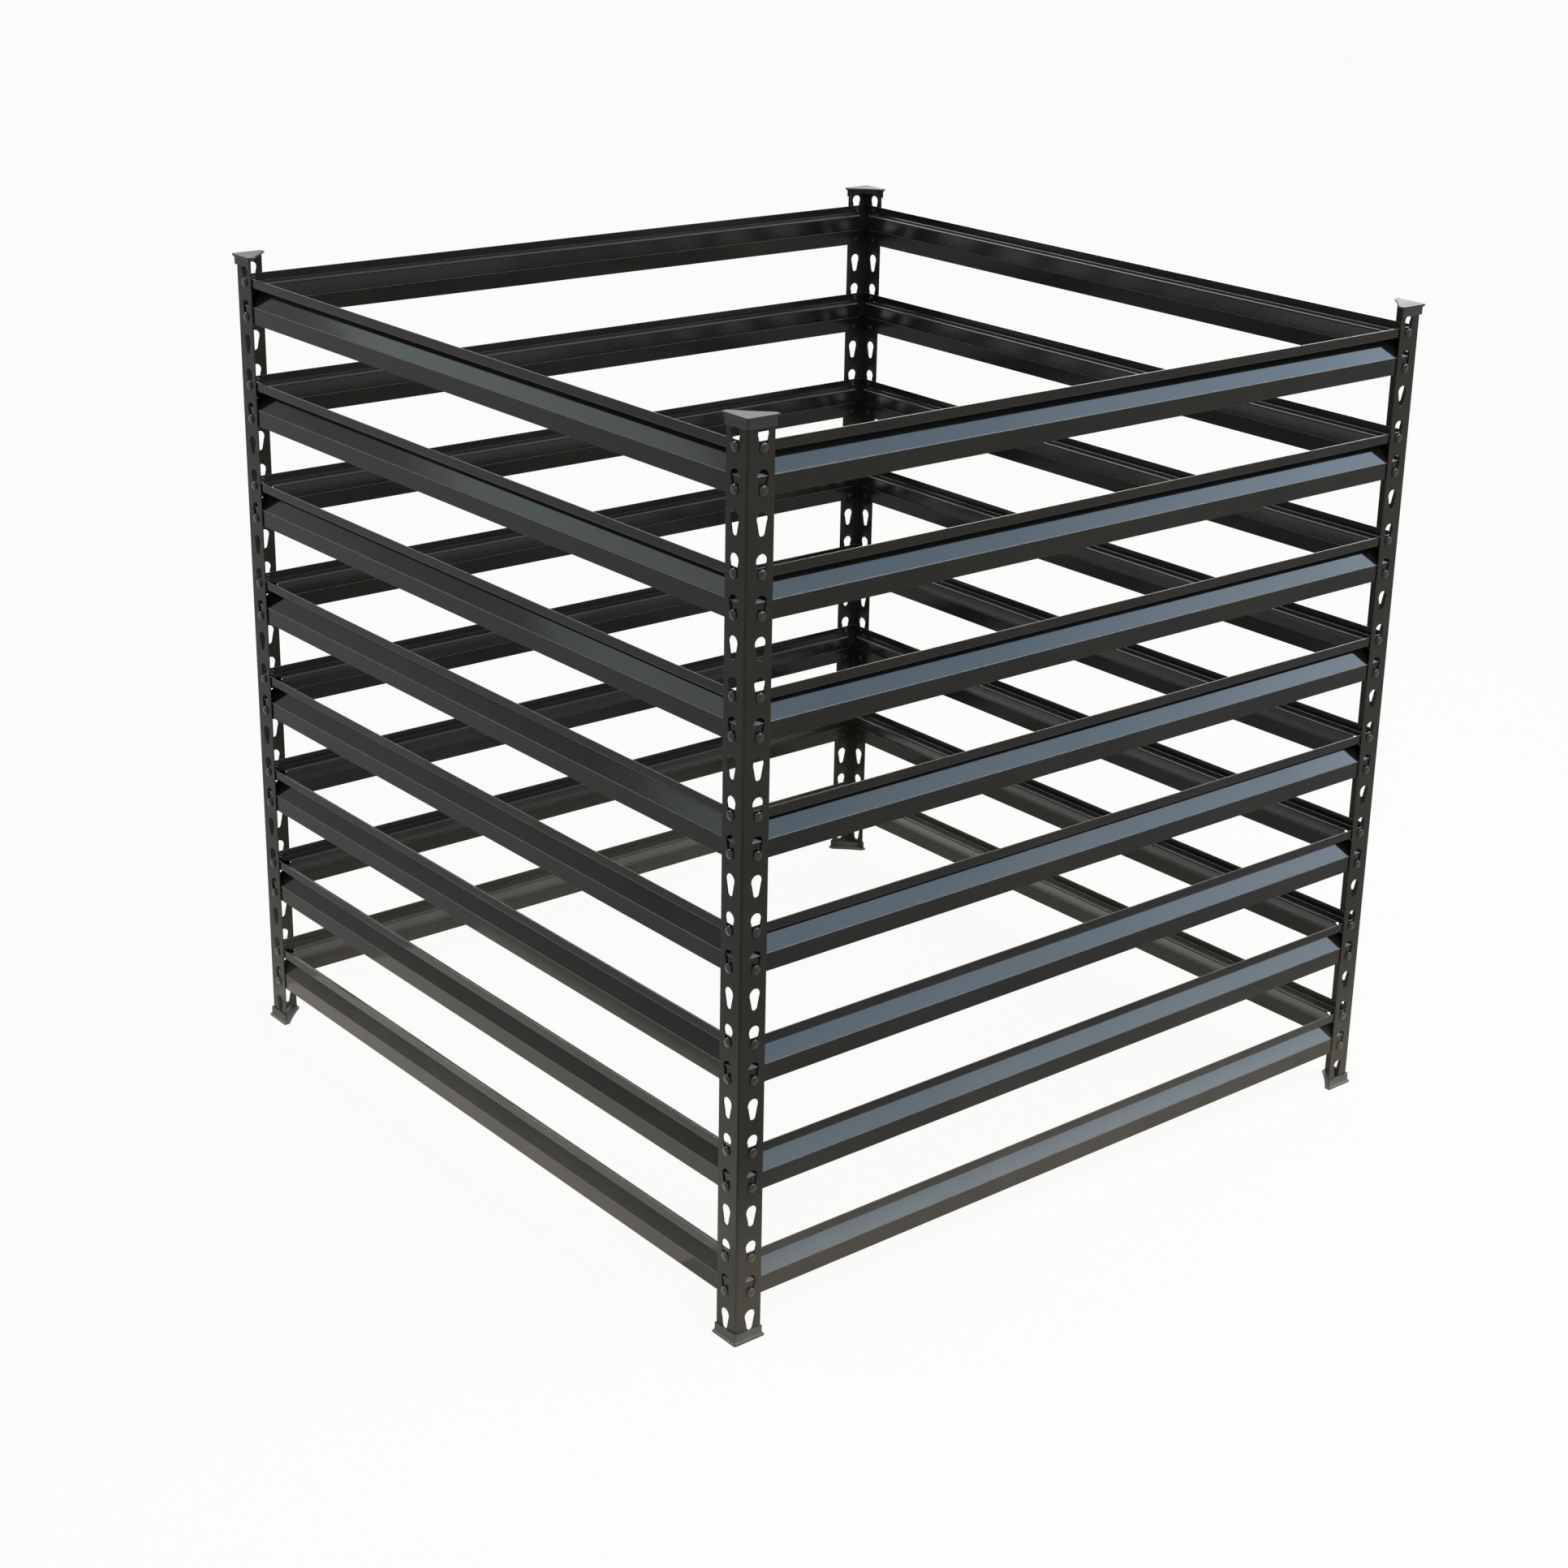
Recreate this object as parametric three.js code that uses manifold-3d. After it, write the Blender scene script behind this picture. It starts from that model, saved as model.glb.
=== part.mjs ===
// Metal compost bin: slats hang by rivets in the keyholes of four angle posts, and plastic caps and feet
// close the posts. Millimetres, +Z up, the front faces -Y, and the origin is under the middle on the ground.
import * as THREE from 'three';
import { mergeVertices } from 'three/addons/utils/BufferGeometryUtils.js';
import Module from 'manifold-3d';

const wasm = await Module();
wasm.setup();

// Driving dimensions of the whole bin
const binWidth = 890; // across the outer faces of two posts, the same front to back
const keyholePitch = 37.5;
const levels = 8; // slats one above the other on each side
const keyholesPerLevel = 3; // two hold a slat and the lowest of the three stays open
const fit = 0.3; // clearance between two pieces that touch

// Corner post
const postSheet = 1.2;
const flangeWidth = 30;
const keyholeInset = 17.2; // from the outer corner of the post to the keyholes' centre line
const roundRadius = 6.1;
const slotRadius = 3.5;
const roundRise = 4.75; // from the keyhole's centre up to the centre of its round end
const slotDrop = 7.5; // from the keyhole's centre down to the centre of its slot end
const roundFacets = 5;
const roundGap = 130; // degrees of the round end that open into the slot
const slotFacets = 3;

// Slat
const slatSheet = 1;
const upperBand = 10.3;
const lowerBand = 18;
const ledgeDepth = 14.5;
const ledgeBend = 1.5; // chamfer that stands for the rounded inner bend of the ledge
const rivetFromTop = 5.5;
const rivetFromBottom = 5.9;
const mitreSet = 8.5; // from the slat's corner line to the start of its mitred end

// Rivet
const headRadius = 4.8;
const headTopRadius = 3;
const headHeight = 2;
const rivetSides = 6;

// Plastic end piece, a cap on top of a post and a foot under it
const plateThickness = 2;
const plateOverhang = 3.5; // past the outer faces of the post
const plateTip = 2.5; // past the edge of the flange
const tipWidth = 6.5; // blunt end of the plate's pointed tips
const skirtWall = 1.6;
const skirtTip = 0.8; // past the edge of the flange
const flareHeight = 3; // height of the part of the skirt that flares out to the plate
const ringWall = 1.6;
const ringSet = 8; // the ring's long side stands back from the plate's long edge
const ringDepth = 5; // inside the post
const liftClearance = 0.5; // between a cap and a slat that is lifted to the top of its travel

// Derived sizes
const keyholes = levels * keyholesPerLevel;
const postLength = keyholePitch * keyholes;
const halfWidth = binWidth / 2;
const postBase = plateThickness + fit;
const slatHeight = keyholePitch + rivetFromTop + rivetFromBottom;
const slatSetback = postSheet + fit; // from the post's outer face to the slat's outer face
const tabEnd = halfWidth - slatSetback - slatSheet - fit;
const mitreStart = halfWidth - slatSetback - mitreSet;
const rivetReach = halfWidth - keyholeInset;
const hexShrink = Math.cos(Math.PI / rivetSides);
const neckRadius = slotRadius - fit / hexShrink;
const topGap = keyholePitch / 2; // from the top keyhole's centre to the end of the post
const skirtCover = topGap - roundRise - headRadius - liftClearance;
const ringCover = Math.min(ringDepth, topGap - roundRise - rivetFromTop - liftClearance);
const sideNames = ['front', 'right', 'back', 'left'];
const cornerNames = ['front_left', 'front_right', 'back_right', 'back_left'];

// Materials
const paint = { color: 0x1d1d1c, roughness: 0.32, metalness: 0.55 };
const plastic = { color: 0x2b2c2b, roughness: 0.5, metalness: 0 };

// A closed three.js geometry becomes a solid for joining and cutting.
function solid(geometry) {
  const plain = geometry.clone();
  plain.deleteAttribute('normal');
  plain.deleteAttribute('uv');
  const merged = mergeVertices(plain);
  const mesh = new wasm.Mesh({
    numProp: 3,
    vertProperties: new Float32Array(merged.attributes.position.array),
    triVerts: new Uint32Array(merged.index.array),
  });
  return new wasm.Manifold(mesh);
}

// A solid becomes a three.js geometry again.
function geometryOf(body) {
  const mesh = body.getMesh();
  const geometry = new THREE.BufferGeometry();
  geometry.setAttribute('position', new THREE.BufferAttribute(new Float32Array(mesh.vertProperties), 3));
  geometry.setIndex(new THREE.BufferAttribute(new Uint32Array(mesh.triVerts), 1));
  geometry.computeVertexNormals();
  return geometry;
}

function join(geometries) {
  return geometries.map(solid).reduce((whole, piece) => whole.add(piece));
}

function pointsOf(pairs) {
  return pairs.map(([x, y]) => new THREE.Vector2(x, y));
}

function prism(pairs, depth, holes = []) {
  const shape = new THREE.Shape(pointsOf(pairs));
  shape.holes = holes.map((hole) => new THREE.Path(pointsOf(hole)));
  return new THREE.ExtrudeGeometry(shape, { depth, bevelEnabled: false });
}

function arc(centreY, radius, startDegrees, sweepDegrees, facets) {
  const pairs = [];
  for (let facet = 0; facet <= facets; facet += 1) {
    const angle = THREE.MathUtils.degToRad(startDegrees + (sweepDegrees * facet) / facets);
    pairs.push([radius * Math.cos(angle), centreY + radius * Math.sin(angle)]);
  }
  return pairs;
}

// One keyhole about its own centre: a round end above, narrowing to a slot end below.
function keyholeOutline() {
  const roundEnd = arc(roundRise, roundRadius, roundGap / 2 - 90, 360 - roundGap, roundFacets);
  const slotEnd = arc(-slotDrop, slotRadius, 180, 180, slotFacets);
  return [...roundEnd, ...slotEnd];
}

// The height of a keyhole's centre above the post's lower end, counted from 0 at the lowest.
function keyholeHeight(index) {
  return (index + 0.5) * keyholePitch;
}

// A flange lies in the X and Z directions, 0 to the sheet's thickness deep in Y, with its corner at X = 0.
function flange() {
  const outline = keyholeOutline();
  const holes = [];
  for (let index = 0; index < keyholes; index += 1) {
    holes.push(outline.map(([x, y]) => [keyholeInset + x, keyholeHeight(index) + y]));
  }
  const edge = [[0, 0], [flangeWidth, 0], [flangeWidth, postLength], [0, postLength]];
  return prism(edge, postSheet, holes);
}

function post() {
  const along = new THREE.Matrix4().makeBasis(
    new THREE.Vector3(1, 0, 0),
    new THREE.Vector3(0, 0, 1),
    new THREE.Vector3(0, -1, 0),
  );
  const across = new THREE.Matrix4().makeBasis(
    new THREE.Vector3(0, 1, 0),
    new THREE.Vector3(0, 0, 1),
    new THREE.Vector3(1, 0, 0),
  );
  const first = flange().applyMatrix4(along).translate(0, postSheet, 0);
  const second = flange().applyMatrix4(across);
  return geometryOf(join([first, second]));
}

// A flat band of the slat, its outer face at Y = 0, long enough to make the tabs behind both posts.
function band(bottom, height) {
  const plate = new THREE.BoxGeometry(2 * tabEnd, slatSheet, height);
  return plate.translate(0, slatSheet / 2, bottom + height / 2);
}

// The ledge and the sloping web, mitred at both ends: each point ends short by its own depth.
function formedMiddle() {
  const ledgeUnder = slatHeight - upperBand;
  const ledgeTop = ledgeUnder + slatSheet;
  const start = slatSheet / 2;
  const section = [
    [start, ledgeUnder],
    [ledgeDepth - slatSheet, ledgeUnder],
    [0, lowerBand],
    [slatSheet, lowerBand + slatSheet - ledgeBend],
    [ledgeDepth, ledgeTop - ledgeBend],
    [ledgeDepth - ledgeBend, ledgeTop],
    [start, ledgeTop],
  ];
  const length = 2 * mitreStart;
  const body = prism(section, length);
  const place = body.attributes.position;
  for (let index = 0; index < place.count; index += 1) {
    const depth = place.getX(index);
    const height = place.getY(index);
    const side = place.getZ(index) > length / 2 ? 1 : -1;
    place.setXYZ(index, side * (mitreStart - depth), depth, height);
  }
  return body;
}

// A rivet stands out of the slat's face along -Y: its neck crosses the post's sheet and its head holds it.
function rivet(x, z) {
  const neckEnd = slatSetback + fit;
  const profile = [
    [0, -slatSheet / 2],
    [neckRadius, -slatSheet / 2],
    [neckRadius, neckEnd],
    [headRadius, neckEnd],
    [headTopRadius, neckEnd + headHeight],
    [0, neckEnd + headHeight],
  ];
  const body = new THREE.LatheGeometry(pointsOf(profile), rivetSides, Math.PI / 2);
  return body.rotateX(Math.PI).translate(x, 0, z);
}

function slat() {
  const rivets = [];
  for (const x of [-rivetReach, rivetReach]) {
    rivets.push(rivet(x, rivetFromBottom), rivet(x, slatHeight - rivetFromTop));
  }
  const bands = [band(0, lowerBand), band(slatHeight - upperBand, upperBand)];
  return geometryOf(join([...bands, formedMiddle(), ...rivets]));
}

// The skirt hugs the outside of both flanges and flares out to the plate at Z = 0.
function skirt() {
  const rings = [
    [0, plateOverhang, flangeWidth + plateTip],
    [plateThickness, plateOverhang, flangeWidth + plateTip],
    [plateThickness + flareHeight, fit + skirtWall, flangeWidth + skirtTip],
    [plateThickness + fit + skirtCover, fit + skirtWall, flangeWidth + skirtTip],
  ];
  const marker = [[-1, -1], [1, -1], [1, 0], [0, 0], [0, 1], [-1, 1]];
  const shape = new THREE.Shape(pointsOf(marker));
  const body = new THREE.ExtrudeGeometry(shape, { depth: 1, steps: rings.length - 1, bevelEnabled: false });
  const place = body.attributes.position;
  for (let index = 0; index < place.count; index += 1) {
    const [height, reach, tip] = rings[Math.round(place.getZ(index) * (rings.length - 1))];
    const spread = (mark) => (mark > 0 ? tip : mark < 0 ? -reach : -fit);
    place.setXYZ(index, spread(place.getX(index)), spread(place.getY(index)), height);
  }
  return body;
}

function plate() {
  const tip = flangeWidth + plateTip;
  const blunt = tipWidth - plateOverhang;
  const outline = [
    [-plateOverhang, -plateOverhang],
    [tip, -plateOverhang],
    [tip, blunt],
    [blunt, tip],
    [-plateOverhang, tip],
  ];
  return prism(outline, plateThickness);
}

// The triangular ring stands inside the angle of the post.
function ring() {
  const near = postSheet + fit;
  const longSide = flangeWidth + plateTip + tipWidth - plateOverhang - ringSet * Math.SQRT2;
  const triangle = (inset) => {
    const corner = near + inset;
    const far = longSide - inset * Math.SQRT2 - corner;
    return [[corner, corner], [far, corner], [corner, far]];
  };
  const height = plateThickness / 2 + fit + ringCover;
  return prism(triangle(0), height, [triangle(ringWall)]).translate(0, 0, plateThickness / 2);
}

function endPiece() {
  return geometryOf(join([skirt(), plate(), ring()]));
}

const postGeometry = post();
const slatGeometry = slat();
const endGeometry = endPiece();

function named(name, geometry, finish) {
  const mesh = new THREE.Mesh(geometry, new THREE.MeshStandardMaterial(finish));
  mesh.name = name;
  return mesh;
}

const bin = new THREE.Group();

// A quarter of the bin, seen from outside: the post at its left, that post's end pieces, and its slats
for (let quarter = 0; quarter < sideNames.length; quarter += 1) {
  const side = new THREE.Group();
  side.rotation.z = (quarter * Math.PI) / 2;
  bin.add(side);

  const corner = new THREE.Group();
  corner.position.set(-halfWidth, -halfWidth, 0);
  side.add(corner);

  const upright = named(`post_${cornerNames[quarter]}`, postGeometry, paint);
  upright.position.z = postBase;
  corner.add(upright);

  const foot = named(`foot_${cornerNames[quarter]}`, endGeometry, plastic);
  corner.add(foot);

  // Turned half over about the diagonal of the corner, so that its skirt hangs down
  const cap = named(`cap_${cornerNames[quarter]}`, endGeometry, plastic);
  cap.quaternion.setFromAxisAngle(new THREE.Vector3(1, 1, 0).normalize(), Math.PI);
  cap.position.z = postLength + 2 * postBase;
  corner.add(cap);

  for (let level = 1; level <= levels; level += 1) {
    const lowerKeyhole = (level - 1) * keyholesPerLevel + 1;
    const strip = named(`slat_${sideNames[quarter]}_${level}`, slatGeometry, paint);
    const seat = postBase + keyholeHeight(lowerKeyhole) - slotDrop;
    strip.position.set(0, -halfWidth + slatSetback, seat - rivetFromBottom);
    side.add(strip);
  }
}

export default bin;
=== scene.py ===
"""Looks of the metal compost bin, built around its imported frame. Metres, Z up, the front towards -Y."""
import math

import bmesh
import bpy
from mathutils import Matrix, Quaternion, Vector
from mathutils.geometry import delaunay_2d_cdt


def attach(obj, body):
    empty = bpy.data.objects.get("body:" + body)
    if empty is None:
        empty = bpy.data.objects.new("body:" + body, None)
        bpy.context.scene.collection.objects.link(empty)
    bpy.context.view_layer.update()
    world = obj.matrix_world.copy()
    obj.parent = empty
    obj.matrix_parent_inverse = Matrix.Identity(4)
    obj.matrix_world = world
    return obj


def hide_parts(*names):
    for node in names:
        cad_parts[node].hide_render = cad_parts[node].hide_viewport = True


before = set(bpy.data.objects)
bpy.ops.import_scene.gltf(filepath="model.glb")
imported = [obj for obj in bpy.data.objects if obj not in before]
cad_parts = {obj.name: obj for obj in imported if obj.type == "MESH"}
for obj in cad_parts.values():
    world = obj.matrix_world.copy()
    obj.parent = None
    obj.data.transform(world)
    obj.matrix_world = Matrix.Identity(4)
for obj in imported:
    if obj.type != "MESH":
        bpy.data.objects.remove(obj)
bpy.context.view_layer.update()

MM = 0.001
TINY = 1e-6
SAME_PLANE = 0.99995
SIDES = ("front", "right", "back", "left")
CORNERS = ("front_left", "front_right", "back_right", "back_left")

# Sizes of the whole bin, in millimetres
BIN_WIDTH = 890.0
PITCH = 37.5
LEVELS = 8
KEYHOLES_PER_LEVEL = 3
FIT = 0.3

# Corner post
POST_SHEET = 1.2
FLANGE = 30.0
KEYHOLE_INSET = 17.2
ROUND_RADIUS = 6.1
SLOT_RADIUS = 3.5
ROUND_RISE = 4.75
SLOT_DROP = 7.5
ROUND_GAP = 130.0
ROUND_STEPS = 20
SLOT_STEPS = 12
POST_BEND = 2.2
BEND_STEPS = 5
PUNCH_ROLL = 0.35
PUNCH_BURR = 0.12
CELLS_ACROSS = 3
CELLS_UP = 4

# Slat
SLAT_SHEET = 1.0
UPPER_BAND = 10.3
LOWER_BAND = 18.0
LEDGE_DEPTH = 14.5
RIVET_FROM_TOP = 5.5
RIVET_FROM_BOTTOM = 5.9
MITRE_SET = 8.5
SLAT_BEND = 1.3
SLAT_BEND_STEPS = 5
SLAT_PARTS = 24
EDGE_ROLL = 0.15
EDGE_ROLL_STEPS = 2
EDGE_ANGLE = 60
LOWER_BEND_ROWS = range(2, 1 + SLAT_BEND_STEPS)

# Rivet
HEAD_RADIUS = 4.8
HEAD_HEIGHT = 2.0
HEAD_RIM = 0.45
HEAD_ROLL = 0.2
DOME_TURNS = (12, 24, 36, 48, 60, 72, 84, 90)
NECK_RADIUS = 3.1
TAIL_RADIUS = 3.4
TAIL_HEIGHT = 1.1
RIVET_SIDES = 28

# The set tail of a rivet: radius and height over the slat's inner face
TAIL_PROFILE = (
    (TAIL_RADIUS - 0.3, 0.0), (TAIL_RADIUS, 0.3), (TAIL_RADIUS - 0.15, 0.7),
    (TAIL_RADIUS - 0.8, TAIL_HEIGHT), (1.6, TAIL_HEIGHT), (1.2, 0.6), (0.0, 0.5))

# Plastic end piece
PLATE = 2.0
OVERHANG = 3.5
TIP = 2.5
TIP_WIDTH = 6.5
CORNER_RADIUS = 2.2
TIP_RADIUS = 1.8
CORNER_STEPS = 4
LONG_EDGE_SAG = 1.0
LONG_EDGE_STEPS = 10
SKIRT_WALL = 1.6
SKIRT_TIP = 0.8
FLARE = 3.0
FLARE_STEPS = 6
RING_WALL = 1.6
RING_SET = 8.0
RING_DEPTH = 5.0
LIFT_CLEARANCE = 0.5
PLASTIC_ROLL = 0.4
PLASTIC_ROLL_STEPS = 2
PLASTIC_EDGE_ANGLE = 40

# Sizes that follow from the others
HALF = BIN_WIDTH / 2
POST_LENGTH = PITCH * LEVELS * KEYHOLES_PER_LEVEL
POST_BASE = PLATE + FIT
SETBACK = POST_SHEET + FIT
SLAT_HEIGHT = PITCH + RIVET_FROM_TOP + RIVET_FROM_BOTTOM
TAB_END = HALF - SETBACK - SLAT_SHEET - FIT
MITRE_START = HALF - SETBACK - MITRE_SET
RIVET_REACH = HALF - KEYHOLE_INSET
SKIRT_COVER = PITCH / 2 - ROUND_RISE - HEAD_RADIUS - LIFT_CLEARANCE
RING_COVER = min(RING_DEPTH, PITCH / 2 - ROUND_RISE - RIVET_FROM_TOP - LIFT_CLEARANCE)

# Colours: the dark and the light of each paint, then what lies on it, partly painted light: the pale edge
# tone holds a painted highlight and the plastic's upward tone a painted sheen
POST_TONES = ((0.017, 0.0163, 0.014, 1), (0.0235, 0.0225, 0.0195, 1))
SLAT_TONES = ((0.0098, 0.0094, 0.0082, 1), (0.0150, 0.0144, 0.0124, 1))
RIVET_TONES = ((0.009, 0.009, 0.0085, 1), (0.014, 0.014, 0.013, 1))
PLASTIC_TONE = (0.016, 0.0155, 0.013, 1)
SPECK_TONE = (0.045, 0.042, 0.036, 1)
PAINT_EARTH = (0.085, 0.078, 0.061, 1)
# pale lines on edges and bends: partly wear, partly a painted highlight
WORN_AND_HIGHLIGHT_TONE = (0.20, 0.193, 0.165, 1)
# plastic that faces up turns this lighter: partly dust, partly a painted sheen of the sky
PLASTIC_DUST_AND_SHEEN = (0.08, 0.08, 0.074, 1)
PLASTIC_EARTH = (0.135, 0.132, 0.115, 1)
GLOSS_TINT = (1.0, 0.98, 0.9, 1)

# Roughness and gloss of each finish
POST_ROUGH, POST_GLOSS = 0.24, 0.11
SLAT_ROUGH, SLAT_GLOSS = 0.08, 0.15
RIVET_ROUGH, RIVET_GLOSS = 0.12, 0.36
PLASTIC_GLOSS = 0.26
ROUGH_SWING = 0.02
INSIDE_ROUGHER = 0.12

# Noises: scale in waves per metre, detail and roughness
PAINT_CLOUDS = (9.0, 4.0, 0.55)
PAINT_FINE = (340.0, 3.0, 0.6)
PAINT_WAVES = (5.0, 0.0)
PLASTIC_CLOUDS = (60.0, 3.0)
PLASTIC_GRAIN = (1500.0, 2.0)

# How a noise or a slope turns into a look: its low and high, and what these become
TONE_RANGE = (0.35, 0.68, 0.0, 1.0)
SPECK_RANGE = (0.60, 0.80, 0.0, 0.22)
EARTH_PATCHES = (0.35, 0.65, 0.7, 1.0)
WORN_AND_HIGHLIGHT_PATCHES = (0.35, 0.6, 0.55, 1.0)
ROUGH_CLOUDS = (0.3, 0.7)
UPWARD_DUST_AND_SHEEN = (0.1, 0.95, 0.0, 1.0)
DUST_AND_SHEEN_PATCHES = (0.3, 0.7, 0.7, 1.0)
PLASTIC_ROUGH = (0.3, 0.7, 0.42, 0.5)

# Bumps: strength, and depth in metres
WAVE_BUMP = (0.35, 0.0004)
GRAIN_BUMP = (0.15, 0.00002)

# How high dust from the ground reaches, in metres
PAINT_EARTH_REACH = 0.25
PLASTIC_EARTH_REACH = 0.03

# Floor and air: what they give as light, and what is seen of them
FLOOR_REACH = 40.0
FLOOR_COLOUR = (0.88, 0.88, 0.87, 1)
FLOOR_ROUGH = 0.9
FLOOR_SEEN = (1.0, 1.0, 0.985, 1)
FLOOR_SEEN_SHARE = 0.93
AIR_LIGHT = (0.5, 0.5, 0.5, 1)
AIR_SEEN = (0.975, 0.975, 0.961, 1)

# Sky lamps, seen only in gloss: azimuth, elevation, size in metres, colour and radiance
MIDDLE_OF_BIN = Vector((0, 0, 0.45))
SKY_DISTANCE = 25.0
SKY_LAMPS = {
    "sky_front": (-42, 29.0, (26.0, 9.5), (0.66, 1.0, 1.42), 6.7),
    "sky_right": (-24, 26.0, (10.0, 8.5), (1.0, 1.0, 1.05), 1.1),
    "haze_low": (-46, 20.0, (20.0, 4.2), (1.0, 1.0, 1.05), 1.3),
    "haze_middle": (-46, 21.0, (20.0, 6.0), (1.0, 1.0, 1.05), 1.1),
    "haze_front": (-46, 22.8, (20.0, 7.4), (0.9, 1.0, 1.12), 1.2),
    "sky_left": (118.5, 25.6, (10.5, 2.4), (0.82, 1.0, 1.08), 2.25),
    "haze_left": (126, 17.2, (12.0, 2.9), (0.85, 1.0, 1.05), 0.28),
    "sky_behind": (30, 14, (17.0, 7.0), (0.98, 1.0, 0.96), 4.3),
    "sky_back": (35, 42, (26.0, 12.0), (0.85, 1.0, 1.15), 3.0),
    "sky_far_left": (238, 42, (26.0, 12.0), (0.85, 1.0, 1.15), 3.0),
    "sky_high": (108, 42, (18.0, 10.0), (0.95, 1.0, 1.02), 14.0),
}

# The key lamp lights the bin and isn't seen in gloss
KEY_WAY = (-72, 50, 4.0)
KEY_LOOK = ((3.0, 3.0), (1.0, 0.99, 0.97), 3.2)

# Sunlit ground beside the left side, seen only in gloss
GROUND_PLACE = Vector((-0.62, 0.1, 0.004))
GROUND_LOOK = ((0.3, 0.8), (1.0, 0.93, 0.8), 0.95)

# Camera, with its places in metres
LENS = 62.743
SHIFT = (-0.04507, -0.04502)
EYE = Vector((-1.83816, -2.20831, 1.45207))
AIM = Vector((0.00501, -0.07096, 0.43499))
ROLL = math.radians(1.627)


def quarter_turn(quarter):
    return Matrix.Rotation(quarter * math.pi / 2, 4, "Z")


def from_faces(name, faces):
    """A mesh from faces given as lists of points in millimetres. Points that meet are joined."""
    build = bmesh.new()
    for face in faces:
        build.faces.new([build.verts.new(Vector(point) * MM) for point in face])
    bmesh.ops.remove_doubles(build, verts=build.verts, dist=TINY)
    bmesh.ops.dissolve_degenerate(build, edges=build.edges, dist=TINY / 10)
    bmesh.ops.recalc_face_normals(build, faces=build.faces)
    for face in build.faces:
        face.smooth = True
    mesh = bpy.data.meshes.new(name)
    build.to_mesh(mesh)
    build.free()
    return mesh


def with_modifiers(mesh, *steps):
    """The mesh after modifiers, each given as its kind and its settings."""
    holder = bpy.data.objects.new("holder", mesh)
    bpy.context.scene.collection.objects.link(holder)
    for kind, settings in steps:
        modifier = holder.modifiers.new(kind, kind)
        for key, value in settings.items():
            setattr(modifier, key, value)
    seen = holder.evaluated_get(bpy.context.evaluated_depsgraph_get())
    result = bpy.data.meshes.new_from_object(seen)
    bpy.data.objects.remove(holder)
    return result


def settle_normals(mesh, widest=60.0):
    """Shades a flat area as flat up to its edge, and smooths the narrow rolls and bends beside it."""
    build = bmesh.new()
    build.from_mesh(mesh)
    build.faces.ensure_lookup_table()
    region, areas, ways = {}, [], []
    for first in build.faces:
        if first.index in region:
            continue
        region[first.index] = len(areas)
        waiting, area = [first], 0.0
        while waiting:
            face = waiting.pop()
            area += face.calc_area()
            for edge in face.edges:
                for beside in edge.link_faces:
                    if beside.index not in region and beside.normal.dot(first.normal) > SAME_PLANE:
                        region[beside.index] = len(areas)
                        waiting.append(beside)
        areas.append(area)
        ways.append(first.normal.copy())
    limit = math.cos(math.radians(widest))
    normals = [None] * len(mesh.loops)
    for face in build.faces:
        for loop in face.loops:
            total = Vector((0.0, 0.0, 0.0))
            for near in {region[other.index] for other in loop.vert.link_faces}:
                if ways[near].dot(face.normal) > limit:
                    total += ways[near] * areas[near]
            normals[loop.index] = total.normalized()
    build.free()
    mesh.normals_split_custom_set(normals)
    return mesh


def loft(rings, closed=True):
    """Faces between rings of points that follow each other."""
    faces = []
    for ring, following in zip(rings, rings[1:]):
        count = len(ring)
        for index in range(count if closed else count - 1):
            after = (index + 1) % count
            faces.append([ring[index], ring[after], following[after], following[index]])
    return faces


def filled(loops, lift):
    """Triangles that fill a flat outline with holes. lift turns a flat point into a point in space."""
    flat, borders = [], []
    for loop in loops:
        start = len(flat)
        flat += [Vector(point) for point in loop]
        borders += [(start + index, start + (index + 1) % len(loop)) for index in range(len(loop))]

    def covered(point):
        crossings = 0
        for first, second in borders:
            low, high = flat[first], flat[second]
            if (low.y > point.y) != (high.y > point.y):
                at = low.x + (high.x - low.x) * (point.y - low.y) / (high.y - low.y)
                crossings += at > point.x
        return crossings % 2 == 1

    corners, _, triangles, _, _, _ = delaunay_2d_cdt(flat, borders, [], 1, TINY)
    kept = [triangle for triangle in triangles
            if covered(sum((corners[index] for index in triangle), Vector((0, 0))) / 3)]
    return [[lift(*corners[index]) for index in triangle] for triangle in kept]


def sheet_edge(sheet):
    """The edge of a punched sheet: how far each line stands back from it, and its depth in the sheet."""
    turn = PUNCH_ROLL * (1 - math.sqrt(1 / 2))
    rolled = [(PUNCH_ROLL, 0.0), (turn, turn), (0.0, PUNCH_ROLL)]
    return rolled + [(0.0, sheet - PUNCH_BURR), (PUNCH_BURR, sheet)]


def arc(centre_y, radius, start, sweep, steps):
    """Points on an arc about a centre on the Y axis, from start through sweep, both in degrees."""
    turns = [math.radians(start + sweep * step / steps) for step in range(steps + 1)]
    return [(radius * math.cos(turn), centre_y + radius * math.sin(turn)) for turn in turns]


def keyhole(grow):
    """A keyhole about its centre, grown outwards by grow."""
    outline = arc(ROUND_RISE, ROUND_RADIUS, ROUND_GAP / 2 - 90, 360 - ROUND_GAP, ROUND_STEPS)
    outline += arc(-SLOT_DROP, SLOT_RADIUS, 180, 180, SLOT_STEPS)
    grown = []
    for index, (x, y) in enumerate(outline):
        before, after = outline[index - 1], outline[(index + 1) % len(outline)]
        along = Vector((after[0] - before[0], after[1] - before[1])).normalized()
        grown.append((x + along.y * grow, y - along.x * grow))
    return grown


def border(low_x, high_x, low_y, high_y, across, up):
    """The outline of a rectangle, with its sides divided."""
    points = []
    points += [(low_x + (high_x - low_x) * step / across, low_y) for step in range(across)]
    points += [(high_x, low_y + (high_y - low_y) * step / up) for step in range(up)]
    points += [(high_x - (high_x - low_x) * step / across, high_y) for step in range(across)]
    points += [(low_x, high_y - (high_y - low_y) * step / up) for step in range(up)]
    return points


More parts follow.
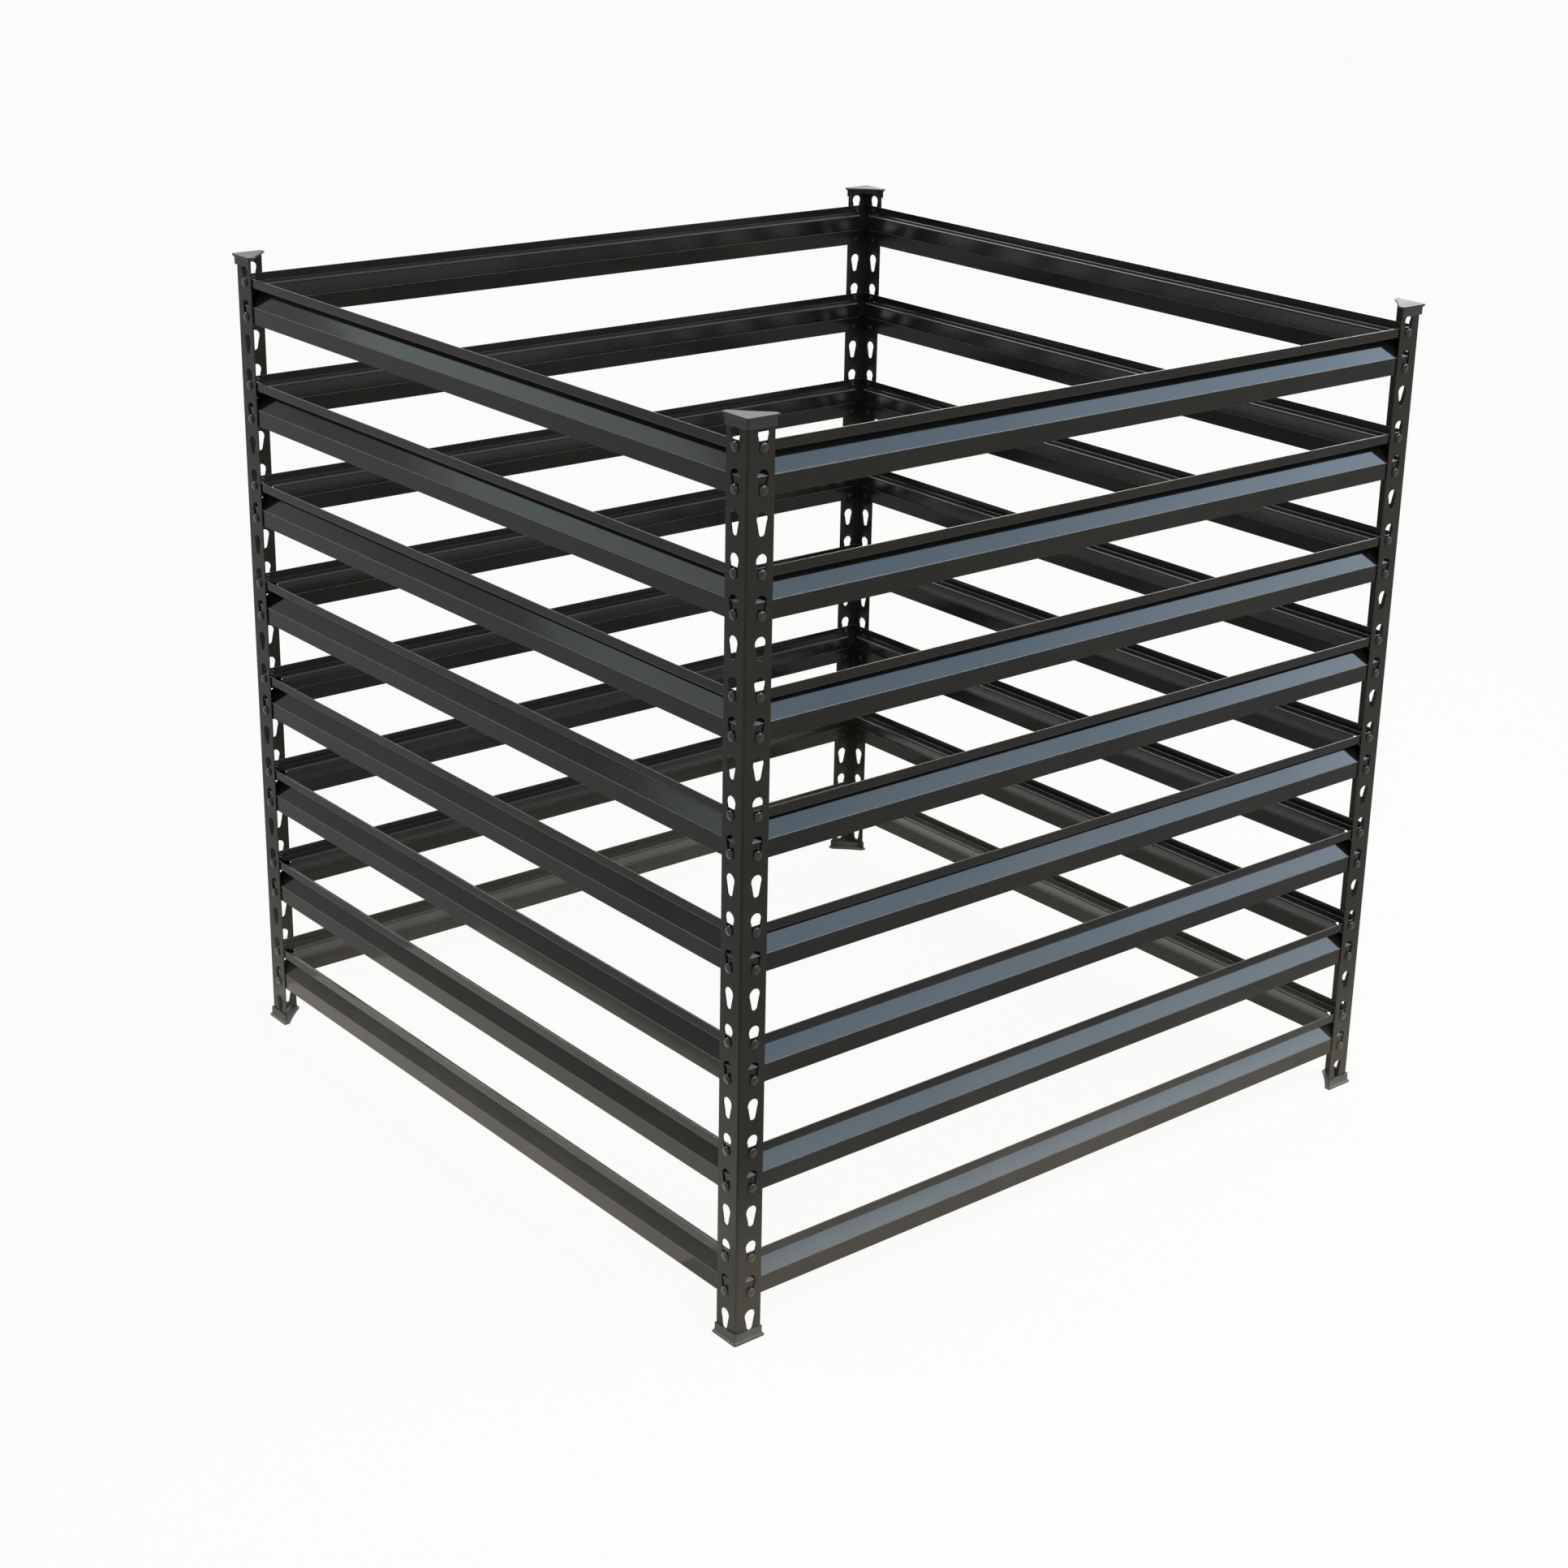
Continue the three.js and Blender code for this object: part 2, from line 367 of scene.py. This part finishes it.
def post_mesh():
    """An angle post with its corner at the origin and its flanges along +X and +Y."""
    edge = sheet_edge(POST_SHEET)
    count = LEVELS * KEYHOLES_PER_LEVEL
    heights = [PITCH * step / CELLS_UP for step in range(count * CELLS_UP + 1)]
    turns = [math.radians(-90 - 90 * step / BEND_STEPS) for step in range(BEND_STEPS + 1)]

    def lifter(flange, depth):
        """What turns a reach along a flange and a height into a point, below the flange's face by depth."""
        if flange == 0:
            return lambda reach, height: (reach, depth, height)
        return lambda reach, height: (depth, reach, height)

    def reaches(back):
        """The divisions of a flange that ends back from its edge."""
        return [POST_BEND + (FLANGE - back - POST_BEND) * step / CELLS_ACROSS
                for step in range(CELLS_ACROSS + 1)]

    def bend(radius):
        return [(POST_BEND + radius * math.cos(turn), POST_BEND + radius * math.sin(turn)) for turn in turns]

    faces = []
    for flange in (0, 1):
        for back, depth in ((edge[0][0], 0.0), (edge[-1][0], POST_SHEET)):
            for index in range(count):
                low = PITCH * index
                outer = border(POST_BEND, FLANGE - back, low, low + PITCH, CELLS_ACROSS, CELLS_UP)
                hole = [(KEYHOLE_INSET + x, low + PITCH / 2 + y) for x, y in keyhole(back)]
                faces += filled([outer, hole], lifter(flange, depth))
        for index in range(count):
            centre = PITCH * (index + 0.5)
            rings = []
            for back, depth in edge:
                lift = lifter(flange, depth)
                rings.append([lift(KEYHOLE_INSET + x, centre + y) for x, y in keyhole(back)])
            faces += loft(rings)
        rings = [[lifter(flange, depth)(FLANGE - back, height) for height in heights] for back, depth in edge]
        faces += loft(rings, closed=False)

    outer_bend, inner_bend = bend(POST_BEND), bend(POST_BEND - POST_SHEET)
    for line in (outer_bend, inner_bend):
        faces += loft([[(x, y, height) for height in heights] for x, y in line], closed=False)

    outer, inner = reaches(edge[0][0]), reaches(edge[-1][0])
    outline = [(FLANGE - back, depth) for back, depth in reversed(edge[1:-1])]
    outline += [(reach, 0.0) for reach in reversed(outer)] + outer_bend[1:-1]
    outline += [(0.0, reach) for reach in outer]
    outline += [(depth, FLANGE - back) for back, depth in edge[1:-1]]
    outline += [(POST_SHEET, reach) for reach in reversed(inner)] + inner_bend[-2:0:-1]
    outline += [(reach, POST_SHEET) for reach in inner]
    for height in (0.0, POST_LENGTH):
        faces += filled([outline], lambda x, y, height=height: (x, y, height))
    return settle_normals(from_faces("post", faces))


def rounded_corner(before, corner, after, radius, steps):
    """The points that round a corner between its two neighbours."""
    corner = Vector(corner)
    back, ahead = (Vector(before) - corner).normalized(), (Vector(after) - corner).normalized()
    half = back.angle(ahead) / 2
    centre = corner + (back + ahead).normalized() * (radius / math.sin(half))
    start = corner + back * (radius / math.tan(half)) - centre
    end = corner + ahead * (radius / math.tan(half)) - centre
    sweep = start.angle_signed(end)
    return [centre + Matrix.Rotation(-sweep * step / steps, 2) @ start for step in range(steps + 1)]


def rounded(points, radius, steps):
    """A path through the points with its inner corners rounded."""
    path = [Vector(points[0])]
    for before, corner, after in zip(points, points[1:], points[2:]):
        path += rounded_corner(before, corner, after, radius, steps)
    path.append(Vector(points[-1]))
    return path


def slat_mesh():
    """A slat with its outer face at Y = 0 and its lower edge at Z = 0, centred on X = 0."""
    middle = SLAT_SHEET / 2
    ledge = SLAT_HEIGHT - UPPER_BAND + middle
    slope = Vector((LEDGE_DEPTH - SLAT_SHEET, SLAT_HEIGHT - UPPER_BAND - LOWER_BAND)).normalized()
    inward = Vector((slope.y, -slope.x)) * middle
    foot = LOWER_BAND + inward.y + (middle - inward.x) * slope.y / slope.x
    half_angle = math.atan2(slope.y, slope.x) / 2
    inner = LEDGE_DEPTH - middle - SLAT_BEND + SLAT_BEND / math.tan(half_angle)
    section = rounded(
        [(middle, 0.0), (middle, foot), (inner, ledge), (middle, ledge), (middle, SLAT_HEIGHT)],
        SLAT_BEND, SLAT_BEND_STEPS)
    shares = [2 * step / SLAT_PARTS - 1 for step in range(SLAT_PARTS + 1)]
    rows = []
    for depth, height in section:
        end = MITRE_START - max(0.0, depth - middle)
        rows.append([(share * end, depth, height) for share in shares])
    faces = loft(rows, closed=False)
    for row, following in zip(section, section[1:]):
        if max(row[0], following[0]) < middle + TINY:
            for side in (-1, 1):
                near, far = side * MITRE_START, side * TAB_END
                faces.append([(near, middle, row[1]), (far, middle, row[1]),
                              (far, middle, following[1]), (near, middle, following[1])])
    mesh = with_modifiers(
        from_faces("slat", faces),
        ("SOLIDIFY", {"thickness": SLAT_SHEET * MM, "offset": 0.0, "use_even_offset": True}),
        ("BEVEL", {"width": EDGE_ROLL * MM, "segments": EDGE_ROLL_STEPS, "limit_method": "ANGLE",
                   "angle_limit": math.radians(EDGE_ANGLE), "harden_normals": False}),
    )
    mark_worn_lit_and_inside(mesh, section)
    return settle_normals(mesh)


def mark_worn_lit_and_inside(mesh, section):
    """Marks a slat's edges and lower bend, where its paint is paler for wear and a painted highlight, and its
    inner faces, for its paint.
    """
    wear_and_highlight = mesh.attributes.new("wear_and_highlight", "FLOAT", "POINT")
    inside = mesh.attributes.new("inside", "FLOAT", "POINT")
    for vertex in mesh.vertices:
        place = Vector((vertex.co.y, vertex.co.z)) / MM
        nearest = min(range(len(section)), key=lambda row: (section[row] - place).length)
        on_edge = not EDGE_ROLL / 2 < place.y < SLAT_HEIGHT - EDGE_ROLL / 2
        # edges and the lower bend get pale lines: partly wear, partly a painted highlight
        wear_and_highlight.data[vertex.index].value = 1.0 if on_edge or nearest in LOWER_BEND_ROWS else 0.0
        along = section[min(nearest + 1, len(section) - 1)] - section[max(nearest - 1, 0)]
        off = place - section[nearest]
        inside.data[vertex.index].value = 1.0 if off.x * along.y > off.y * along.x else 0.0


def turned(profile, sides, place):
    """Faces of a body turned about the Y axis. The profile gives radius and Y, from axis to axis."""
    rings = []
    for radius, y in profile:
        ring = []
        for side in range(sides):
            turn = 2 * math.pi * side / sides
            ring.append((place[0] + radius * math.cos(turn), place[1] + y,
                         place[2] + radius * math.sin(turn)))
        rings.append(ring)
    return loft(rings)


def rivets_mesh():
    """The four rivets of a slat, in the slat's place."""
    face = -SETBACK - FIT
    head = [(0.0, face - HEAD_HEIGHT)]
    for turn in map(math.radians, DOME_TURNS):
        dome = (HEAD_HEIGHT - HEAD_RIM) * math.cos(turn)
        head.append((HEAD_RADIUS * math.sin(turn), face - HEAD_RIM - dome))
    head += [(HEAD_RADIUS, face - HEAD_ROLL), (HEAD_RADIUS - HEAD_ROLL, face), (NECK_RADIUS, face)]
    tail = [(NECK_RADIUS, SLAT_SHEET)] + [(radius, SLAT_SHEET + height) for radius, height in TAIL_PROFILE]
    faces = []
    for x in (-RIVET_REACH, RIVET_REACH):
        for z in (RIVET_FROM_BOTTOM, SLAT_HEIGHT - RIVET_FROM_TOP):
            faces += turned(head + tail, RIVET_SIDES, (x, 0.0, z))
    return from_faces("rivets", faces)


def softened(points, radii):
    """A closed outline with each corner rounded by its own radius. A radius of 0 keeps it sharp."""
    outline = []
    for index, (corner, radius) in enumerate(zip(points, radii)):
        before, after = points[index - 1], points[(index + 1) % len(points)]
        if radius:
            outline += map(tuple, rounded_corner(before, corner, after, radius, CORNER_STEPS))
        else:
            outline.append(corner)
    return outline


def skirt_faces():
    """The skirt round the outside of the post, with its flare and the edge of the plate."""
    rings = [(0.0, OVERHANG, FLANGE + TIP)]
    for step in range(FLARE_STEPS + 1):
        turn = math.pi / 2 * step / FLARE_STEPS
        out = 1 - math.sin(turn)
        reach = FIT + SKIRT_WALL + (OVERHANG - FIT - SKIRT_WALL) * out
        tip = FLANGE + SKIRT_TIP + (TIP - SKIRT_TIP) * out
        rings.append((PLATE + FLARE * (1 - math.cos(turn)), reach, tip))
    top = PLATE + FIT + SKIRT_COVER
    rings.append((top, FIT + SKIRT_WALL, FLANGE + SKIRT_TIP))
    wall_radius = SKIRT_WALL / 2
    loops = []
    for height, reach, tip in rings:
        outline = softened(
            [(-reach, -reach), (tip, -reach), (tip, -FIT), (-FIT, -FIT), (-FIT, tip), (-reach, tip)],
            [CORNER_RADIUS, wall_radius, 0, 0, 0, wall_radius])
        loops.append([(x, y, height) for x, y in outline])
    return loft(loops) + [loops[0], loops[-1]]


def plate_faces():
    """The triangular plate, with blunt tips and a long edge that is a little hollow."""
    tip = FLANGE + TIP
    blunt = TIP_WIDTH - OVERHANG
    outline = softened(
        [(-OVERHANG, -OVERHANG), (tip, -OVERHANG), (tip, blunt), (blunt, tip), (-OVERHANG, tip)],
        [CORNER_RADIUS, TIP_RADIUS, TIP_RADIUS, TIP_RADIUS, TIP_RADIUS])
    corners = [index for index, (x, y) in enumerate(outline) if x > 0 and y > 0]
    last = next(index for index in corners if outline[index][0] - outline[index + 1][0] > FLANGE / 3)
    (x, y), (far_x, far_y) = outline[last], outline[last + 1]
    long_edge = []
    for step in range(1, LONG_EDGE_STEPS):
        share = step / LONG_EDGE_STEPS
        pull = LONG_EDGE_SAG * (1 - (2 * share - 1) ** 2) / math.sqrt(2)
        long_edge.append((x + (far_x - x) * share - pull, y + (far_y - y) * share - pull))
    outline[last + 1:last + 1] = long_edge
    loops = [[(x, y, height) for x, y in outline] for height in (0.0, PLATE)]
    return loft(loops) + [loops[0], loops[-1]]


def ring_faces():
    """The triangular ring that grips the inside of the post."""
    near = POST_SHEET + FIT
    long_side = FLANGE + TIP + TIP_WIDTH - OVERHANG - RING_SET * math.sqrt(2)
    low, high = PLATE / 2, PLATE + FIT + RING_COVER

    def triangle(inset, height):
        corner = near + inset
        far = long_side - inset * math.sqrt(2) - corner
        return [(corner, corner, height), (far, corner, height), (corner, far, height)]

    outer_low, outer_high = triangle(0, low), triangle(0, high)
    inner_low, inner_high = triangle(RING_WALL, low), triangle(RING_WALL, high)
    return loft([outer_low, outer_high, inner_high, inner_low, outer_low])


def end_mesh():
    """The plastic end piece as a foot, with the corner of its post over the origin."""
    mesh = from_faces("plate", plate_faces())
    for name, faces in (("skirt", skirt_faces()), ("ring", ring_faces())):
        other = bpy.data.objects.new(name, from_faces(name, faces))
        bpy.context.scene.collection.objects.link(other)
        mesh = with_modifiers(mesh, ("BOOLEAN", {"operation": "UNION", "object": other, "solver": "EXACT"}))
        bpy.data.objects.remove(other)
    return settle_normals(with_modifiers(
        mesh,
        ("BEVEL", {"width": PLASTIC_ROLL * MM, "segments": PLASTIC_ROLL_STEPS, "limit_method": "ANGLE",
                   "angle_limit": math.radians(PLASTIC_EDGE_ANGLE), "harden_normals": False}),
    ))


def put(name, mesh, matrix, body, node, finish):
    """A piece made from a mesh in millimetre places. Its own copy of the mesh holds its place."""
    shape = mesh.copy()
    shape.name = name
    shape.transform(matrix)
    shape.materials.clear()
    shape.materials.append(finish)
    piece = bpy.data.objects.new(name, shape)
    bpy.context.scene.collection.objects.link(piece)
    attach(piece, body)
    if node:
        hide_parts(node)
    return piece


def add(tree, kind, inputs=(), **settings):
    """A shader node. inputs pairs a socket's name or number with a value or with another node's output."""
    made = tree.nodes.new(kind)
    for key, value in settings.items():
        setattr(made, key, value)
    for key, value in dict(inputs).items():
        if isinstance(value, bpy.types.NodeSocket):
            tree.links.new(value, made.inputs[key])
        else:
            made.inputs[key].default_value = value
    return made


def new_material(name):
    """A material, its node tree and its main shader."""
    made = bpy.data.materials.new(name)
    made.use_nodes = True
    return made, made.node_tree, made.node_tree.nodes["Principled BSDF"]


def noise(tree, place, scale, detail=2.0, roughness=0.5):
    return add(tree, "ShaderNodeTexNoise", {
        "Vector": place, "Scale": scale, "Detail": detail, "Roughness": roughness}).outputs["Fac"]


def spread(tree, value, low, high, to_low, to_high):
    """The value, with low to high stretched over to_low to to_high."""
    return add(tree, "ShaderNodeMapRange", {
        "Value": value, "From Min": low, "From Max": high, "To Min": to_low, "To Max": to_high,
    }).outputs["Result"]


def blend_colours(tree, share, first, second):
    """The first colour where share is 0, and the second where it is 1."""
    return add(tree, "ShaderNodeMix", {0: share, 6: first, 7: second}, data_type="RGBA").outputs[2]


def combined(tree, operation, first, second):
    return add(tree, "ShaderNodeMath", {0: first, 1: second}, operation=operation).outputs[0]


def bumped(tree, shader, height, strength, depth):
    bump = add(tree, "ShaderNodeBump", {"Height": height, "Strength": strength, "Distance": depth})
    tree.links.new(bump.outputs["Normal"], shader.inputs["Normal"])


def near_ground(tree, place, clouds, reach):
    """How dusty a place is: most at the ground, none above its reach in metres."""
    height = add(tree, "ShaderNodeSeparateXYZ", {0: place}).outputs["Z"]
    fade = add(tree, "ShaderNodeMapRange", {
        "Value": height, "From Min": 0.0, "From Max": reach, "To Min": 1.0, "To Max": 0.0,
    }, interpolation_type="SMOOTHERSTEP").outputs["Result"]
    return combined(tree, "MULTIPLY", fade, spread(tree, clouds, *EARTH_PATCHES))


def paint(name, dark, light, rough, gloss, worn_and_lit_edges=False):
    """Black paint: soft clouds of tone, fine dust that thickens towards the ground, and pale edges and bends,
    partly wear and partly a painted highlight.
    """
    made, tree, shader = new_material(name)
    place = add(tree, "ShaderNodeTexCoord").outputs["Object"]
    clouds = noise(tree, place, *PAINT_CLOUDS)
    fine = noise(tree, place, *PAINT_FINE)
    colour = blend_colours(tree, spread(tree, clouds, *TONE_RANGE), dark, light)
    colour = blend_colours(tree, spread(tree, fine, *SPECK_RANGE), colour, SPECK_TONE)
    colour = blend_colours(tree, near_ground(tree, place, clouds, PAINT_EARTH_REACH), colour, PAINT_EARTH)
    roughness = spread(tree, clouds, *ROUGH_CLOUDS, rough - ROUGH_SWING, rough + ROUGH_SWING)
    if worn_and_lit_edges:
        # pale edge lines: partly wear, partly a painted highlight
        worn_and_lit = add(tree, "ShaderNodeAttribute", attribute_name="wear_and_highlight").outputs["Fac"]
        worn_and_lit = combined(tree, "MULTIPLY", worn_and_lit, spread(tree, fine, *WORN_AND_HIGHLIGHT_PATCHES))
        colour = blend_colours(tree, worn_and_lit, colour, WORN_AND_HIGHLIGHT_TONE)
        inside = add(tree, "ShaderNodeAttribute", attribute_name="inside").outputs["Fac"]
        roughness = combined(tree, "ADD", roughness, combined(tree, "MULTIPLY", inside, INSIDE_ROUGHER))
    tree.links.new(colour, shader.inputs["Base Color"])
    tree.links.new(roughness, shader.inputs["Roughness"])
    shader.inputs["Specular IOR Level"].default_value = gloss
    shader.inputs["Specular Tint"].default_value = GLOSS_TINT
    bumped(tree, shader, noise(tree, place, *PAINT_WAVES), *WAVE_BUMP)
    return made


def plastic(name):
    """Moulded plastic with a fine grain. What faces up is lighter, partly dust and partly a painted sheen of
    the sky; dust also lies near the ground.
    """
    made, tree, shader = new_material(name)
    place = add(tree, "ShaderNodeTexCoord").outputs["Object"]
    clouds = noise(tree, place, *PLASTIC_CLOUDS)
    normal = add(tree, "ShaderNodeNewGeometry").outputs["Normal"]
    up = add(tree, "ShaderNodeSeparateXYZ", {0: normal}).outputs["Z"]
    # faces that look up are lighter: partly dust, partly a painted sheen of the sky
    dust_and_sheen = combined(tree, "MULTIPLY", spread(tree, up, *UPWARD_DUST_AND_SHEEN), spread(tree, clouds, *DUST_AND_SHEEN_PATCHES))
    colour = blend_colours(tree, dust_and_sheen, PLASTIC_TONE, PLASTIC_DUST_AND_SHEEN)
    colour = blend_colours(tree, near_ground(tree, place, clouds, PLASTIC_EARTH_REACH), colour, PLASTIC_EARTH)
    tree.links.new(colour, shader.inputs["Base Color"])
    tree.links.new(spread(tree, clouds, *PLASTIC_ROUGH), shader.inputs["Roughness"])
    shader.inputs["Specular IOR Level"].default_value = PLASTIC_GLOSS
    shader.inputs["Specular Tint"].default_value = GLOSS_TINT
    bumped(tree, shader, noise(tree, place, *PLASTIC_GRAIN), *GRAIN_BUMP)
    return made


post_paint = paint("post_paint", *POST_TONES, POST_ROUGH, POST_GLOSS)
slat_paint = paint("slat_paint", *SLAT_TONES, SLAT_ROUGH, SLAT_GLOSS, worn_and_lit_edges=True)
rivet_finish = paint("rivet_finish", *RIVET_TONES, RIVET_ROUGH, RIVET_GLOSS)
end_plastic = plastic("end_plastic")

posts, slats, rivets, ends = post_mesh(), slat_mesh(), rivets_mesh(), end_mesh()
half_over = Matrix.Rotation(math.pi, 4, Vector((1, 1, 0)))

for quarter, (side, corner) in enumerate(zip(SIDES, CORNERS)):
    turn = quarter_turn(quarter)
    corner_place = turn @ Matrix.Translation(Vector((-HALF, -HALF, 0)) * MM)
    lifted = Matrix.Translation((0, 0, POST_BASE * MM))
    over = Matrix.Translation((0, 0, (POST_LENGTH + 2 * POST_BASE) * MM))
    put(f"angle_{corner}", posts, corner_place @ lifted, "frame", f"post_{corner}", post_paint)
    cap_place = corner_place @ over @ half_over
    put(f"sole_{corner}", ends, corner_place, "frame", f"foot_{corner}", end_plastic)
    put(f"top_{corner}", ends, cap_place, "frame", f"cap_{corner}", end_plastic)
    for level in range(1, LEVELS + 1):
        keyhole_height = PITCH * ((level - 1 / 2) * KEYHOLES_PER_LEVEL)
        bottom = POST_BASE + keyhole_height - SLOT_DROP - RIVET_FROM_BOTTOM
        place = turn @ Matrix.Translation(Vector((0, SETBACK - HALF, bottom)) * MM)
        body = f"slat_{side}_{level}"
        put(f"strip_{side}_{level}", slats, place, body, body, slat_paint)
        put(f"rivets_{side}_{level}", rivets, place, body, None, rivet_finish)

floor_mesh = bpy.data.meshes.new("floor")
signs = ((-1, -1), (1, -1), (1, 1), (-1, 1))
floor_mesh.from_pydata([(x * FLOOR_REACH, y * FLOOR_REACH, 0) for x, y in signs], [], [(0, 1, 2, 3)])
floor = bpy.data.objects.new("floor", floor_mesh)
bpy.context.scene.collection.objects.link(floor)


def seen_directly(tree):
    """1 for camera, glossy and transmission rays."""
    path = add(tree, "ShaderNodeLightPath").outputs
    first = combined(tree, "MAXIMUM", path["Is Camera Ray"], path["Is Glossy Ray"])
    return combined(tree, "MAXIMUM", first, path["Is Transmission Ray"])


floor_finish, tree, shader = new_material("floor_finish")
floor_mesh.materials.append(floor_finish)
shader.inputs["Base Color"].default_value = FLOOR_COLOUR
shader.inputs["Roughness"].default_value = FLOOR_ROUGH
shader.inputs["Specular IOR Level"].default_value = 0.0
glow = add(tree, "ShaderNodeEmission", {"Color": FLOOR_SEEN, "Strength": 1.0})
amount = combined(tree, "MULTIPLY", seen_directly(tree), FLOOR_SEEN_SHARE)
mixed = add(tree, "ShaderNodeMixShader", {0: amount, 1: shader.outputs[0], 2: glow.outputs[0]})
tree.links.new(mixed.outputs[0], tree.nodes["Material Output"].inputs["Surface"])

world = bpy.data.worlds.new("studio")
bpy.context.scene.world = world
world.use_nodes = True
tree = world.node_tree
background = tree.nodes["Background"]
shade = blend_colours(tree, seen_directly(tree), AIR_LIGHT, AIR_SEEN)
tree.links.new(shade, background.inputs["Color"])


def around(azimuth, elevation, distance):
    """A place about the middle of the bin. Azimuth 0 is towards +X and 90 towards +Y."""
    turn, rise = math.radians(azimuth), math.radians(elevation)
    level = math.cos(rise)
    return Vector((math.cos(turn) * level, math.sin(turn) * level, math.sin(rise))) * distance


def softbox(name, place, way, size, colour, radiance, lights=False):
    """A lamp that shines along way. It either lights, or only shows in what is glossy."""
    lamp = bpy.data.lights.new(name, "AREA")
    lamp.shape = "RECTANGLE"
    lamp.size, lamp.size_y = size
    lamp.energy = radiance * math.pi * size[0] * size[1]
    lamp.color = colour
    holder = bpy.data.objects.new(name, lamp)
    holder.location = place
    holder.rotation_mode = "QUATERNION"
    holder.rotation_quaternion = way.to_track_quat("-Z", "Y")
    holder.visible_camera = False
    holder.visible_diffuse = lights
    holder.visible_glossy = not lights
    bpy.context.scene.collection.objects.link(holder)


for name, (azimuth, elevation, *look) in SKY_LAMPS.items():
    way = around(azimuth, elevation, SKY_DISTANCE)
    softbox(name, MIDDLE_OF_BIN + way, -way, *look)
way = around(*KEY_WAY)
softbox("key", MIDDLE_OF_BIN + way, -way, *KEY_LOOK, lights=True)
softbox("ground_left", GROUND_PLACE, Vector((0, 0, 1)), *GROUND_LOOK)

camera = bpy.data.objects.new("camera", bpy.data.cameras.new("camera"))
bpy.context.scene.collection.objects.link(camera)
bpy.context.scene.camera = camera
camera.data.lens = LENS
camera.data.shift_x, camera.data.shift_y = SHIFT
camera.location = EYE
camera.rotation_mode = "QUATERNION"
camera.rotation_quaternion = (AIM - EYE).to_track_quat("-Z", "Y") @ Quaternion((0, 0, 1), ROLL)

bpy.context.scene.view_settings.view_transform = "Standard"
